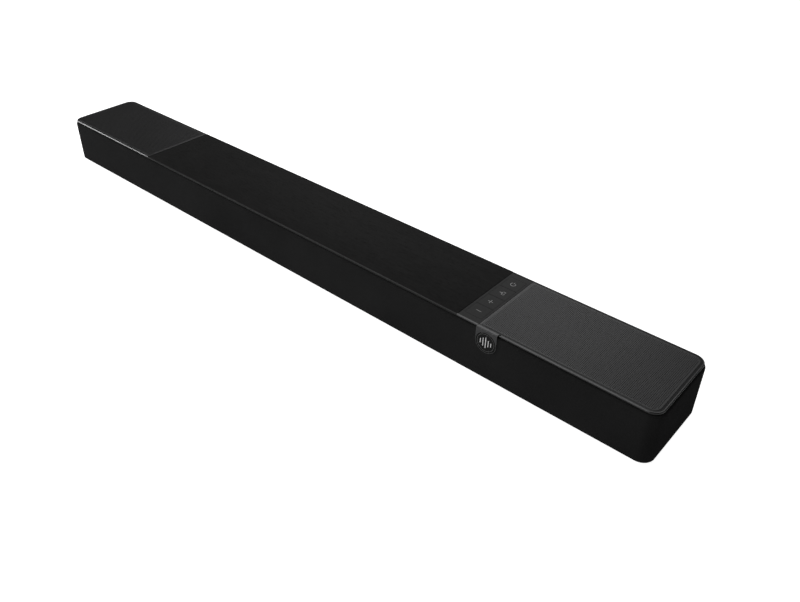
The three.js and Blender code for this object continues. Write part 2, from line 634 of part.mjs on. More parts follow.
function topFrame() {
  const edge = prism(roundRect(-deckX, deckX, -deckY, deckY, deckR), zLip, zPanel + 0.2);
  const skirt = prism(bodyOutline(housingOffset), zBaffleLow, zLip + 0.2);
  let frame = edge.add(skirt);
  const cuts = [];
  // The wood panel's pocket, and the hollow under the plate between the inner bulkheads.
  cuts.push(block(-grilleSeamX, grilleSeamX, -deckY + RIM_W, deckY - RIM_W, zPlate, zTop + 1));
  const hollowX = innerBulkheadX - BULKHEAD_T;
  const hollowY = deckY - skirtInset - WALL_T;
  cuts.push(block(-hollowX, hollowX, -hollowY, hollowY, zBaffleLow - 1, zPlateLow));
  const hole = keyHoleHalf;
  for (const { y } of keyPlaces)
    cuts.push(block(controlX - hole, controlX + hole, y - hole, y + hole, zBaffleLow, zTop));
  for (const { sign } of sides) {
    const trimStart = sign > 0 ? controlSeamX : grilleSeamX;
    const seat = prism(endOutline(grilleSeamX, 0), zLedge, zTop + 1);
    const well = prism(endOutline(grilleSeamX + LEDGE_W, ledgeInset), zPlateLow, zTop + 1);
    cuts.push(onSide(seat, sign), onSide(well, sign));
    cuts.push(onSide(trimRing(trimStart - FIT, -1, TRIM_W + FIT, zTrimLow - FIT, zTop + 1), sign));
    cuts.push(post(WOOFER_R - 5, zBaffleLow - 1, zTop, sign * wooferX, wooferY));
  }
  frame = without(frame, ...cuts);
  for (const { sign } of sides) {
    const x = sign * heightX;
    const seated = (part) => facingUp(part, x, heightY, heightFaceZ, HEIGHT_TILT);
    const collar = post(SMALL_R + 1, heightFaceZ - COLLAR_DROP, zPlateLow - 0.5, x, heightY);
    const below = seated(block(-halfD, halfD, -halfD, halfD, -halfD, 0));
    const bore = seated(post(SMALL_R - DRIVER_SEAT_W - 1, -halfD, halfD));
    const reach = block(x - halfD, x + halfD, -halfD, halfD, zBaffleLow - COLLAR_DROP * 2, zTop);
    frame = frame.add(collar.subtract(below)).subtract(bore.intersect(reach));
  }
  // Bosses that take the housing screws, open at their lower end.
  for (const [x, y] of screwPlaces) {
    const boss = post(BOSS_R - 0.5, zBossTop + FIT, zPlateLow + 0.5, x, y, SCREW_STEPS);
    const pilot = post(SCREW_R + 0.2, zBossTop, zShoulder + SCREW_LENGTH + 1, x, y, SCREW_STEPS);
    frame = frame.add(boss).subtract(pilot);
  }
  return frame;
}
place("top_frame", topFrame(), "plastic");

for (const { side, sign } of sides) {
  const start = sign > 0 ? controlSeamX : grilleSeamX;
  const trimLevels = [zTrimLow, zTrimTop, TRIM_CHAMFER];
  const bar = chamferedPrism(start - END_SPARE, deckX, -deckY, deckY, deckR - TRIM_CHAMFER, ...trimLevels)
    .intersect(block(start, deckX + 1, -deckY - 1, deckY + 1, zTrimLow - 1, zTop + 1));
  let trim = bar.subtract(prism(endOutline(start - 1, TRIM_W), zTrimLow - 1, zTop + 1));
  if (sign > 0) {
    const notch = [grilleSeamX - FIT, grilleSeamX + BADGE_W + BADGE_NOTCH, -deckY - 1, -deckY + TRIM_W + 1];
    trim = trim.subtract(block(...notch, zTop - BADGE_T - FIT * 2, zTop + 1));
  }
  place(`end_trim_${side}`, onSide(trim, sign), "trim");

  const x0 = grilleSeamX + SEAM / 2;
  const x1 = deckX - grilleInset;
  const y1 = deckY - grilleInset;
  const zFold = zTop - GRILLE_FOLD;
  const sheetR = deckR - grilleInset - GRILLE_CHAMFER;
  const roundEnd = chamferedPrism(x0 - END_SPARE, x1, -y1, y1, sheetR, zFold, zTop, GRILLE_CHAMFER);
  // The inner end is square in plan, with its own chamfer.
  const wide = y1 + END_SPARE;
  const squareEnd = chamferedPrism(x0, x1 + END_SPARE, -wide, wide, 0, zFold - 1, zTop, GRILLE_CHAMFER);
  const sheet = roundEnd.intersect(squareEnd);
  const inner = prism(endOutline(x0 + GRILLE_T, grilleInset + GRILLE_T), zFold - 1, zTop - GRILLE_T);
  place(`grille_${side}`, onSide(sheet.subtract(inner), sign), "grille");

  const scrimTop = zTop - GRILLE_T - FIT;
  const scrim = prism(
    endOutline(x0 + GRILLE_T + FIT, grilleInset + GRILLE_T + FIT),
    scrimTop - SCRIM_T,
    scrimTop,
  );
  place(`scrim_${side}`, onSide(scrim, sign), "scrim");
}

place(
  "wood_panel",
  block(-grilleSeamX + SEAM / 2, controlSeamX - SEAM / 2, -deckY + RIM_W + FIT, deckY - RIM_W - FIT,
    zPanel - PANEL_T, zPanel),
  "wood",
);

// The control strip, with one square opening for each key.
function controlPanel() {
  const half = deckY - TRIM_W - FIT * 2;
  const hole = KEY_SIZE / 2 + KEY_GAP;
  const x = [controlSeamX + SEAM / 2, grilleSeamX - SEAM / 2];
  const strip = block(...x, -half, half, zPanel - PANEL_T, zPanel);
  return without(
    strip,
    ...keyPlaces.map(({ y }) => block(controlX - hole, controlX + hole, y - hole, y + hole, 0, zTop + 1)),
  );
}
place("control_panel", controlPanel(), "control");

for (const { name, y } of keyPlaces) {
  const half = KEY_SIZE / 2;
  const low = zPanel - PANEL_T + KEY_TRAVEL;
  const cap = block(controlX - half, controlX + half, y - half, y + half, low, zPanel);
  place(name, cap.add(post(KEY_STEM_R, zStem, zPanel - 1, controlX, y, BORE_STEPS)), "control");
}

// The switch board hangs under the deck, with one switch below each key's stem.
function keyBoard() {
  const switchTop = zStem - KEY_TRAVEL - KEY_SLACK;
  const boardTop = zBaffleLow - 1;
  const half = CONTROL_WIDTH / 2 - 2;
  const reach = KEY_PITCH * 2;
  let board = block(controlX - half, controlX + half, -reach, reach, boardTop - BOARD_T, boardTop);
  for (const { y } of keyPlaces) {
    const across = [controlX - SWITCH_HALF, controlX + SWITCH_HALF, y - SWITCH_HALF, y + SWITCH_HALF];
    board = board.add(block(...across, boardTop - 0.5, switchTop - 0.5));
    board = board.add(post(SWITCH_R, switchTop - 1, switchTop, controlX, y, BORE_STEPS));
  }
  return board;
}
place("key_board", keyBoard(), "board");

// ---------------------------------------------------------------- badge: a folded tab and its disc
const badgeX = grilleSeamX + BADGE_W / 2;
const badgeFront = -halfD - REAR_PROUD;
const zRound = zTop - BADGE_DROP;
const badgeRound = (r, y0, y1) => postAlongY(r, y0, y1, badgeX, zRound, BADGE_STEPS);
function badgeTab() {
  const x = [grilleSeamX, grilleSeamX + BADGE_W];
  const back = badgeFront + BADGE_T;
  const top = zTop - TRIM_BELOW;
  const hang = block(...x, badgeFront, back, zRound, top).add(badgeRound(BADGE_W / 2, badgeFront, back));
  const fold = block(...x, badgeFront, -deckY + TRIM_W, top - BADGE_T, top);
  return hang.add(fold).subtract(badgeRound(BADGE_DISC_R + BADGE_FIT * 2, badgeFront - 1, back + 1));
}
place("badge_tab", badgeTab(), "badge");
place("badge_disc", badgeRound(BADGE_DISC_R - BADGE_FIT, badgeFront, badgeFront + BADGE_T), "gloss");

// ---------------------------------------------------------------- display behind the cloth
const displayEdges = [
  displayX - DISPLAY_W / 2 - DISPLAY_EDGE,
  displayX + DISPLAY_W / 2 + DISPLAY_EDGE,
  frontWallY - CARRIER_GAP + FIT * 2,
  frontWallY - FIT,
];
const displayHalfH = DISPLAY_H / 2 + DISPLAY_EDGE;
place("display_module", block(...displayEdges, hornZ - displayHalfH, hornZ + displayHalfH), "gloss");

// ---------------------------------------------------------------- loudspeaker drivers
// A driver faces +Z, with the front of its flange at height 0. Its basket, motor and flange are one piece.
const MOUTH_IN = 5; // flange's outer edge to its mouth
const BASKET_WALL = 1.5;
function basket(r, depth, motor, travel) {
  const mouth = r - MOUTH_IN;
  const neck = motor.radius * 0.8;
  const zMagnet = -depth + motor.height;
  const drum = -motor.flange - travel - BASKET_WALL;
  return turned(
    [
      [0, -depth],
      [motor.radius, -depth],
      [motor.radius, zMagnet],
      [neck + BASKET_WALL, zMagnet + 1],
      [mouth + BASKET_WALL, drum],
      [mouth + BASKET_WALL, -motor.flange],
      [r, -motor.flange],
      [r, 0],
      [mouth, 0],
      [mouth, drum],
      [neck, zMagnet + BASKET_WALL * 2],
      [0, zMagnet + BASKET_WALL * 2],
    ],
    DRIVER_STEPS,
  );
}

// A cone with its dust cap and voice-coil former. Its edge is at height z.
function cone(r, z, coneDepth, coilR, formerLow) {
  const wall = CONE_T;
  const neckZ = z - coneDepth;
  return turned(
    [
      [0, neckZ - wall],
      [coilR - wall, neckZ - wall],
      [coilR - wall, formerLow],
      [coilR, formerLow],
      [coilR, neckZ - wall],
      [r, z - wall],
      [r, z],
      [coilR * 1.25, neckZ + wall],
      [0, neckZ + coilR * 0.45],
    ],
    DRIVER_STEPS,
  );
}

// A half-roll rubber surround between radius r0 and r1, standing on height z.
function surround(r0, r1, z) {
  const wall = SURROUND_T;
  const mid = (r0 + r1) / 2;
  const roll = (r1 - r0) / 2;
  const steps = 4;
  const outside = [];
  const inside = [];
  for (let i = 0; i <= steps; i++) {
    const a = (i * Math.PI) / steps;
    outside.push([mid + roll * Math.cos(a), z + (roll - 1) * Math.sin(a)]);
    inside.push([mid - (roll - wall) * Math.cos(a), z - wall + (roll - 1) * Math.sin(a)]);
  }
  const loop = [...outside, ...inside];
  return turned([...loop, loop[0]], DRIVER_STEPS);
}

const CONE_BELOW = 2.5; // woofer cone's edge below its flange's face
const CONE_DEPTH = 11;
const COIL_R = 12;
const SMALL_CONE_BELOW = 2.2;
const SMALL_CONE_DEPTH = 7;
const SMALL_COIL_R = 7;
const FORMER_CLEAR = 6; // a former's lower end above the magnet
const wooferMouth = WOOFER_R - MOUTH_IN;
const wooferFaceZ = zBaffleLow - FIT;
const wooferConeR = wooferMouth - SURROUND_W;
const wooferFormerLow = -WOOFER_DEPTH + WOOFER_MOTOR.height + FORMER_CLEAR + 1;
const smallMouth = SMALL_R - MOUTH_IN;
const smallBasket = () => basket(SMALL_R, SMALL_DEPTH, SMALL_MOTOR, SMALL_TRAVEL);
const smallFormerLow = -SMALL_DEPTH + SMALL_MOTOR.height + FORMER_CLEAR;
const smallCone = () =>
  cone(smallMouth - FIT, -SMALL_CONE_BELOW, SMALL_CONE_DEPTH, SMALL_COIL_R, smallFormerLow);
for (const { side, sign } of sides) {
  const at = [sign * wooferX, wooferY, wooferFaceZ];
  const wooferBasket = basket(WOOFER_R, WOOFER_DEPTH, WOOFER_MOTOR, WOOFER_TRAVEL);
  const wooferSurround = surround(wooferConeR + FIT, wooferMouth - FIT, -CONE_BELOW);
  const wooferCone = cone(wooferConeR, -CONE_BELOW, CONE_DEPTH, COIL_R, wooferFormerLow);
  place(`woofer_${side}_basket`, facingUp(wooferBasket, ...at), "basket");
  place(`woofer_${side}_surround`, facingUp(wooferSurround, ...at), "rubber");
  place(`woofer_${side}_cone`, facingUp(wooferCone, ...at), "cone");

  const drop = [FIT * Math.sin(heightRotation), -FIT * Math.cos(heightRotation)];
  const seat = [sign * heightX, heightY + drop[0], heightFaceZ + drop[1], HEIGHT_TILT];
  place(`height_${side}_basket`, facingUp(smallBasket(), ...seat), "basket");
  place(`height_${side}_cone`, facingUp(smallCone(), ...seat), "cone");
}

const frontNames = ["front_outer_left", "front_inner_left", "front_inner_right", "front_outer_right"];
const flangeFaceY = frontWallY - DRIVER_FLANGE_T - FIT;
frontNames.forEach((name, i) => {
  const at = [frontDriverX[i], flangeFaceY, hornZ];
  place(`${name}_basket`, facingFront(smallBasket(), ...at), "basket");
  place(`${name}_cone`, facingFront(smallCone(), ...at), "cone");
});

// ---------------------------------------------------------------- centre tweeter: horn, motor and dome
// A closed skin over rings of points, each ring at its own height, for the horn's flaring throat.
function loft(rings) {
  const count = rings[0].length;
  const places = rings.flat().flat();
  const index = [];
  for (let k = 0; k + 1 < rings.length; k++)
    for (let i = 0; i < count; i++) {
      const a = k * count + i;
      const b = k * count + ((i + 1) % count);
      index.push(a, b, b + count, a, b + count, a + count);
    }
  const last = (rings.length - 1) * count;
  for (let i = 1; i + 1 < count; i++) {
    index.push(0, i + 1, i);
    index.push(last, last + i, last + i + 1);
  }
  const made = new THREE.BufferGeometry();
  made.setAttribute("position", new THREE.Float32BufferAttribute(places, 3));
  return solid(made.setIndex(index));
}

// One ring of the horn: from a circle at the throat to a rounded rectangle at the mouth.
function hornRing(share, height) {
  const flare = share ** 2;
  const halfW = DOME_R + (HORN_W / 2 - HORN_RIM_W - DOME_R) * flare;
  const halfH = DOME_R + (HORN_H / 2 - HORN_RIM_H - DOME_R) * flare;
  const power = 1 - 0.55 * share;
  const ring = [];
  for (let i = 0; i < ROUND_STEPS; i++) {
    const a = (i * 2 * Math.PI) / ROUND_STEPS;
    const c = Math.cos(a);
    const s = Math.sin(a);
    ring.push([
      halfW * Math.sign(c) * Math.abs(c) ** power,
      halfH * Math.sign(s) * Math.abs(s) ** power,
      height,
    ]);
  }
  return ring;
}

function horn() {
  const flange = block(-HORN_W / 2, HORN_W / 2, -HORN_H / 2, HORN_H / 2, -DRIVER_FLANGE_T, 0);
  const halfW = hornHoleW / 2 - FIT;
  const halfH = hornHoleH / 2 - FIT;
  const body = block(-halfW, halfW, -halfH, halfH, -HORN_BODY_DEPTH, -1);
  const rings = [0, 0.2, 0.4, 0.6, 0.8, 1].map((share) =>
    hornRing(share, -HORN_BODY_DEPTH - 0.5 + share * (HORN_BODY_DEPTH + 1)),
  );
  return flange.add(body).subtract(loft(rings));
}
const hornAt = [0, flangeFaceY, hornZ];
place("tweeter_horn", facingFront(horn(), ...hornAt), "plastic");

// The motor stands behind the horn and holds a shallow well for the dome.
const motorTop = -HORN_BODY_DEPTH - FIT;
place(
  "tweeter_motor",
  facingFront(
    turned([
      [0, motorTop - MOTOR_H],
      [MOTOR_R, motorTop - MOTOR_H],
      [MOTOR_R, motorTop],
      [DOME_R, motorTop],
      [DOME_R, motorTop - MOTOR_WELL],
      [0, motorTop - MOTOR_WELL],
    ]),
    ...hornAt,
  ),
  "motor",
);
place(
  "tweeter_dome",
  facingFront(
    turned([
      [0, motorTop - 2],
      [DOME_R - FIT, motorTop - 2],
      [DOME_R - FIT, motorTop - 1],
      [DOME_R * 0.7, motorTop + 1.2],
      [0, motorTop + 2.4],
    ]),
    ...hornAt,
  ),
  "cone",
);

screwPlaces.forEach((at, i) => place(`housing_screw_${i + 1}`, screw(at), "screw"));

export default soundbar;
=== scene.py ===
"""The looks of a soundbar: cloth, perforated grilles, veneer, keys, badge, feet and ports.

Everything is in metres in the frame's own axes: +X along the bar to a listener's right, -Y towards the
listener, +Z up from the surface that the feet stand on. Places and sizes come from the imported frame's
nodes, and what the frame doesn't hold is named below.
"""

import json
import math

import bmesh
import bpy
from mathutils import Matrix, Vector


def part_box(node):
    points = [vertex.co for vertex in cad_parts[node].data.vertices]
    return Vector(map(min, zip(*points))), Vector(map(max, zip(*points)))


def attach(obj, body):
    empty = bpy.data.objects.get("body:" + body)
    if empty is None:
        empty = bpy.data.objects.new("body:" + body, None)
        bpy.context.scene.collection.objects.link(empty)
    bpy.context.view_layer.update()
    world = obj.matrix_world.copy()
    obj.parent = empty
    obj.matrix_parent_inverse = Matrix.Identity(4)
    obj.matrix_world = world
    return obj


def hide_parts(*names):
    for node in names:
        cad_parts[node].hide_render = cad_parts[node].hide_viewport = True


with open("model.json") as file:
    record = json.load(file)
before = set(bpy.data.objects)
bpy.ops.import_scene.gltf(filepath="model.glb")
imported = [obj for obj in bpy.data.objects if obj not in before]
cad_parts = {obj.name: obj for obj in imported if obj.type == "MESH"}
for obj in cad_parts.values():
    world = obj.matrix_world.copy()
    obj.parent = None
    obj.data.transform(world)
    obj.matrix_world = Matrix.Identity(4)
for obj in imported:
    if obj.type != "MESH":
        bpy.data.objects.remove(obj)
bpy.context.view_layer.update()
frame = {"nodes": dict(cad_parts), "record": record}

MM = 0.001

# ---------------------------------------------------------------- sizes that the frame doesn't hold
CLOTH_CORNER = 16 * MM  # plan radius of the cloth's corners
CLOTH_TOP_ROLL = 2.7 * MM  # round top edge of the cloth
CLOTH_HEM = 1.2 * MM  # round bottom edge
CLOTH_THICK = 0.4 * MM
CLOTH_TURN = 3.2 * MM  # how far the cloth turns in over its carrier and under it
CLOTH_END_GAP = 0.4 * MM  # between the cloth's ends and the rear covers
THREAD = 0.55 * MM  # pitch of the weave

GRILLE_CORNER = 11.7 * MM  # plan radius of the grilles' outer corners
GRILLE_SHEET = 0.7 * MM
GRILLE_MARGIN = 1.8 * MM  # plain border of each grille, a little lower than its field
GRILLE_STEP = 0.35 * MM  # how far the field stands above that border
GRILLE_FIELD = GRILLE_MARGIN + 0.75 * MM  # from a grille's edge to the flat of its field
HOLE_PITCH = 2.3 * MM
HOLE_RADIUS = 0.67 * MM
HOLE_CLEAR = 0.05 * MM  # between the field's border and the first holes' cells
SAME_PLACE = 0.01 * MM  # corners of neighbouring cells closer than this are one point

VENEER_EDGE = 0.35 * MM

ICON_HEIGHT = 0.12 * MM
ICON_LINE = 0.85 * MM
ICON_SIZE = 7.2 * MM

BADGE_SHEET = 0.6 * MM
BADGE_BEND = 1.3 * MM  # radius of the fold over the front edge
BADGE_SOFT = 0.12 * MM  # softened edges
BADGE_FIT = 0.25 * MM  # between the tab and its disc
DISC_RIM = 0.25 * MM
DISC_SUNK = 0.05 * MM  # the disc's face is this much behind the front of its CAD box
MOTIF_RING = 0.86  # radius of the ring, as a share of the disc's
MOTIF_RING_LINE = 0.3 * MM
MOTIF_BARS = (0.22, 0.42, 0.58, 0.34, 0.2)  # half height of each bar, as a share of the disc's radius
MOTIF_BAR_PITCH = 0.27  # as a share of the disc's radius
MOTIF_BAR_LINE = 1.2 * MM
MOTIF_HEIGHT = 0.04 * MM  # half thickness of the ring and the bars
MOTIF_SUNK = 0.02 * MM

POCKETS = {"signal_lip": (0, 70 * MM), "power_lip": (175 * MM, 22 * MM)}  # middle and half width
POCKET_HEIGHT = 36.5 * MM
POCKET_HALF_RISE = 14 * MM
POCKET_CORNER = 4 * MM
LIP_WIDTH = 0.8 * MM
LIP_DEPTH = 1.5 * MM
LIP_SUNK = 0.1 * MM  # the lips lie this much behind the back's face
FIT = 0.03 * MM

ROOM_LEVEL = 0.09  # what the studio's walls send to the bar
FLOOR_LEVEL = 0.2  # what the floor sends to it, besides the light that it returns
BACKDROP_LEVEL = 0.95  # how bright the floor is in the picture
FLOOR_REACH = 9

SOFTBOXES = {  # place, size, watts and what it is aimed at
    "back_softbox": ((-0.9, 1.7, 1.7), (2.0, 1.6), 18, (0, 0, 0.05)),
    "top_softbox": ((0.6, -0.2, 2.4), (2.4, 1.6), 6, (0, 0, 0.05)),
    "front_softbox": ((-0.8, -1.8, 1.8), (2.4, 1.1), 22, (0, 0, 0.05)),
    "left_strip": ((-2.6, -1.05, 1.1), (0.5, 0.9), 26, (-0.45, -0.06, 0.077)),  # for the left trim
}

CAMERA_PLACE = (0.72986, -0.67392, 0.64402)
CAMERA_TURN = 0.7329  # to the left of straight ahead, in radians
CAMERA_TIP = 0.6029  # below level
CAMERA_LENS = 35.417
CAMERA_SHIFT = (0.0255, -0.0308)


# ---------------------------------------------------------------- node materials
class Shader:
    """A material's node tree, with short calls to add nodes and join them."""

    def __init__(self, name):
        self.material = bpy.data.materials.new(name)
        self.material.use_nodes = True
        self.tree = self.material.node_tree
        self.surface = self.tree.nodes["Principled BSDF"]

    def add(self, kind, settings=None, **inputs):
        """A node with its settings and inputs. An underscore stands for a space in an input's name."""
        node = self.tree.nodes.new(kind)
        for key, value in (settings or {}).items():
            setattr(node, key, value)
        for key, value in inputs.items():
            self.join(value, node.inputs[key.replace("_", " ")])
        return node

    def join(self, value, socket):
        """Links another node's output to a socket, or sets the socket to a constant."""
        if isinstance(value, bpy.types.NodeSocket):
            self.tree.links.new(value, socket)
        else:
            socket.default_value = value

    def math(self, operation, a, b=0.0):
        node = self.tree.nodes.new("ShaderNodeMath")
        node.operation = operation
        self.join(a, node.inputs[0])
        self.join(b, node.inputs[1])
        return node.outputs[0]

    def ramp(self, value, stops):
        """A colour ramp from (position, grey or colour) stops."""
        node = self.tree.nodes.new("ShaderNodeValToRGB")
        self.join(value, node.inputs[0])
        for k, (place, colour) in enumerate(stops):
            stop = node.color_ramp.elements[k] if k < 2 else node.color_ramp.elements.new(place)
            stop.position = place
            stop.color = (*(colour if isinstance(colour, tuple) else (colour,) * 3), 1)
        return node.outputs[0]

    def places(self, scale=(1, 1, 1), source="Object"):
        """Texture coordinates, in metres on the object unless another source is given."""
        coordinates = self.tree.nodes.new("ShaderNodeTexCoord")
        mapping = self.tree.nodes.new("ShaderNodeMapping")
        mapping.inputs["Scale"].default_value = scale
        self.tree.links.new(coordinates.outputs[source], mapping.inputs["Vector"])
        return mapping.outputs[0]

    def noise(self, scale, detail=4.0, roughness=0.55, stretch=(1, 1, 1), distortion=0.0):
        node = self.add(
            "ShaderNodeTexNoise",
            Vector=self.places(stretch),
            Scale=scale,
            Detail=detail,
            Roughness=roughness,
            Distortion=distortion,
        )
        return node.outputs["Fac"]

    def bump(self, height, distance, strength=1.0):
        node = self.add("ShaderNodeBump", Height=height, Distance=distance, Strength=strength)
        self.join(node.outputs[0], self.surface.inputs["Normal"])

    def look(self, **inputs):
        """Sets inputs of the surface."""
        for key, value in inputs.items():
            self.join(value, self.surface.inputs[key.replace("_", " ")])


def moulded(name, dark, light, roughness, grain=900.0, depth=0.04 * MM, shine=0.3):
    """Moulded plastic: a fine spark-eroded texture and a slight change of shade over the part."""
    shader = Shader(name)
    shade = shader.noise(14.0, 3.0)
    texture = shader.noise(grain, 2.0)
    shader.look(
        Base_Color=shader.ramp(shade, [(0.3, dark), (0.7, light)]),
        Roughness=shader.ramp(texture, [(0.3, roughness - 0.06), (0.7, roughness + 0.06)]),
        Specular_IOR_Level=shine,
    )
    shader.bump(texture, depth, 0.5)
    return shader.material


def weave(name, dark, light, pitch, sheen):
    """Plain-woven cloth. Its mesh has the cloth's own lengths in metres as UVs."""
    shader = Shader(name)
    split = shader.tree.nodes.new("ShaderNodeSeparateXYZ")
    shader.join(shader.places(source="UV"), split.inputs[0])
    turns = math.pi / pitch
    across = shader.math("SINE", shader.math("MULTIPLY", split.outputs["X"], turns))
    along = shader.math("SINE", shader.math("MULTIPLY", split.outputs["Y"], turns))
    over = shader.math("MULTIPLY", across, along)
    slub = shader.noise(420.0, 3.0)
    shade = shader.noise(9.0, 3.0)
    height = shader.math("ADD", shader.math("MULTIPLY", over, over), shader.math("MULTIPLY", slub, 0.6))
    tone = shader.math("ADD", shader.math("MULTIPLY", height, 0.45), shader.math("MULTIPLY", shade, 0.5))
    shader.look(
        Base_Color=shader.ramp(tone, [(0.25, dark), (0.85, light)]),
        Roughness=0.9,
        Specular_IOR_Level=0.0,
        Sheen_Weight=sheen,
        Sheen_Roughness=0.5,
        Sheen_Tint=(0.6, 0.6, 0.62, 1),
    )
    shader.bump(height, 0.06 * MM, 0.6)
    return shader.material


def satin_metal(name, colour, roughness, metallic=0.85, lines=(1, 1, 1)):
    """Painted or brushed metal, with a fine grain that lines stretches."""
    shader = Shader(name)
    grain = shader.noise(1500.0, 2.0, stretch=lines)
    cloud = shader.noise(11.0, 3.0)
    darker, lighter = (tuple(c * share for c in colour) for share in (0.93, 1.07))
    shader.look(
        Base_Color=shader.ramp(cloud, [(0.3, darker), (0.7, lighter)]),
        Metallic=metallic,
        Roughness=shader.ramp(grain, [(0.3, roughness - 0.05), (0.7, roughness + 0.05)]),
    )
    shader.bump(grain, 0.01 * MM, 0.4)
    return shader.material


def ebony(name):
    """Black open-pore veneer: faint rings, a cloudy figure, flecks and pores, drawn out along the bar."""
    shader = Shader(name)
    warp = shader.noise(6.0, 3.0, 0.6, (0.35, 1, 1))
    split = shader.tree.nodes.new("ShaderNodeSeparateXYZ")
    shader.join(shader.places(), split.inputs[0])
    drift = shader.math("ADD", split.outputs["Y"], shader.math("MULTIPLY", warp, 0.055))
    rings = shader.math("SINE", shader.math("MULTIPLY", drift, 900.0))
    figure = shader.noise(30.0, 5.0, 0.55, (0.45, 1, 1), 1.6)
    flecks = shader.noise(260.0, 3.0, 0.6, (0.22, 1, 1), 0.8)
    pores = shader.noise(640.0, 4.0, 0.65, (0.2, 1, 1), 1.2)
    pit = shader.ramp(pores, [(0.34, 0.0), (0.46, 1.0)])
    ripple = shader.math("MULTIPLY", shader.math("ADD", rings, 1.0), 0.035)
    cloud = shader.math("ADD", ripple, shader.math("MULTIPLY", figure, 0.5))
    tone = shader.math("ADD", cloud, shader.math("MULTIPLY", flecks, 0.45))
    grain = shader.math("MULTIPLY", tone, shader.math("ADD", shader.math("MULTIPLY", pit, 0.45), 0.55))
    dark, middle, light = (0.0065, 0.0064, 0.0064), (0.0101, 0.01, 0.0099), (0.016, 0.0158, 0.0157)
    shader.look(
        Base_Color=shader.ramp(grain, [(0.05, dark), (0.4, middle), (0.8, light)]),
        Roughness=shader.ramp(pit, [(0.0, 0.75), (1.0, 0.58)]),
        Specular_IOR_Level=0.06,
    )
    shader.bump(shader.math("ADD", pit, shader.math("MULTIPLY", tone, 0.4)), 0.03 * MM, 0.45)
    return shader.material


def gloss(name, grey):
    """Polished black resin with faint waves."""
    shader = Shader(name)
    wave = shader.noise(60.0, 2.0)
    shader.look(
        Base_Color=shader.ramp(wave, [(0.2, grey), (0.8, grey * 1.5)]),
        Roughness=shader.ramp(wave, [(0.2, 0.16), (0.8, 0.24)]),
        Specular_IOR_Level=0.12,
    )
    shader.bump(wave, 0.02 * MM, 0.3)
    return shader.material


def circuit(name):
    """Solder mask with the traces showing through it."""
    shader = Shader(name)
    traces = shader.add(
        "ShaderNodeTexBrick",
        {"offset": 0.35},
        Vector=shader.places((1, 1, 1)),
        Scale=260.0,
        Mortar_Size=0.02,
    )
    greens = [(0.0, (0.01, 0.05, 0.02)), (1.0, (0.02, 0.11, 0.04))]
    shader.look(
        Base_Color=shader.ramp(traces.outputs["Fac"], greens),
        Roughness=0.35,
    )
    shader.bump(traces.outputs["Fac"], 0.03 * MM, 0.4)
    return shader.material


paints = {  # linear greys and colours, matched to the photograph under this light
    "plastic": moulded("moulded_black", 0.0085, 0.0115, 0.55),
    "rear_plastic": moulded("moulded_rear", 0.017, 0.023, 0.5, 1300.0, 0.06 * MM),
    "socket_plastic": moulded("moulded_socket", 0.006, 0.01, 0.45),
    "control": moulded("control_satin", 0.014, 0.0165, 0.5, 1600.0, 0.015 * MM, 0.15),
    "rubber": moulded("foot_rubber", 0.01, 0.018, 0.8, 700.0, 0.08 * MM),
    "surround": moulded("surround_rubber", 0.005, 0.009, 0.6, 500.0),
    "cone": moulded("coated_cone", 0.03, 0.05, 0.45, 260.0, 0.1 * MM),
    "basket": moulded("basket_paint", 0.015, 0.022, 0.5),
    "scrim": weave("scrim_cloth", 0.0012, 0.003, 0.8 * MM, 0.0),
    "cloth": weave("speaker_cloth", 0.0112, 0.0266, THREAD, 0.026),
    "grille": satin_metal("grille_graphite", (0.0425, 0.0425, 0.0432), 0.43, 0.68),
    # painted shade: a darker grey on the grilles' low plain borders, standing in for the shadow in that
    # recessed band
    "border_painted_shade": satin_metal("grille_border_painted_shade", (0.02, 0.02, 0.0204), 0.5, 0.3),
    "trim": satin_metal("trim_satin", (0.049, 0.049, 0.0495), 0.3, 0.9, (0.05, 1, 1)),
    "badge": satin_metal("badge_brushed", (0.07, 0.07, 0.0712), 0.34, 0.95, (1, 1, 0.05)),
    "badge_line": satin_metal("badge_line", (0.2, 0.2, 0.2), 0.4, 0.6),
    "silver": satin_metal("motif_silver", (0.85, 0.85, 0.85), 0.4, 0.3),
    "icon": moulded("icon_ink", 0.3, 0.36, 0.6),
    "shell": satin_metal("socket_nickel", (0.55, 0.55, 0.54), 0.25, 1.0),
    "alloy": satin_metal("sink_alloy", (0.45, 0.45, 0.46), 0.4, 1.0, (1, 0.05, 1)),
    "screw": satin_metal("screw_black", (0.03, 0.03, 0.03), 0.35),
    "wood": ebony("ebony_veneer"),
    "gloss": gloss("gloss_black", 0.003),
    "board": circuit("solder_mask"),
}

slot_paints = {  # the record's material slots, and the paint of each
    "housing_plastic": "plastic",
    "cloth": "cloth",
    "end_trim": "trim",
    "grille": "grille",
    "scrim": "scrim",
    "wood": "wood",
    "control_finish": "control",
    "badge_metal": "badge",
    "gloss_black": "gloss",
    "foot_rubber": "rubber",
    "socket_shell": "shell",
    "socket_plastic": "socket_plastic",
    "circuit_board": "board",
    "heat_sink": "alloy",
    "basket": "basket",
    "surround_rubber": "surround",
    "cone": "cone",
    "screw": "screw",
}


def paint(thing, name):
    """Gives a piece one paint."""
    thing.data.materials.clear()
    thing.data.materials.append(paints[name])


for part in frame["record"]["subparts"]:
    paint(frame["nodes"][part["node"]], slot_paints[part["material_slot"]])
for node in ("port_panel", "rear_cover_left", "rear_cover_right"):
    paint(frame["nodes"][node], "rear_plastic")


# ---------------------------------------------------------------- mesh helpers
def made(name, mesh, finish, body="chassis", smooth=True, slot=None):
    """Puts a mesh in the scene as a piece that rides on a body."""
    thing = bpy.data.objects.new(name, mesh)
    bpy.context.scene.collection.objects.link(thing)
    paint(thing, finish)
    for face in mesh.polygons:
        face.use_smooth = smooth
    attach(thing, body)
    return thing


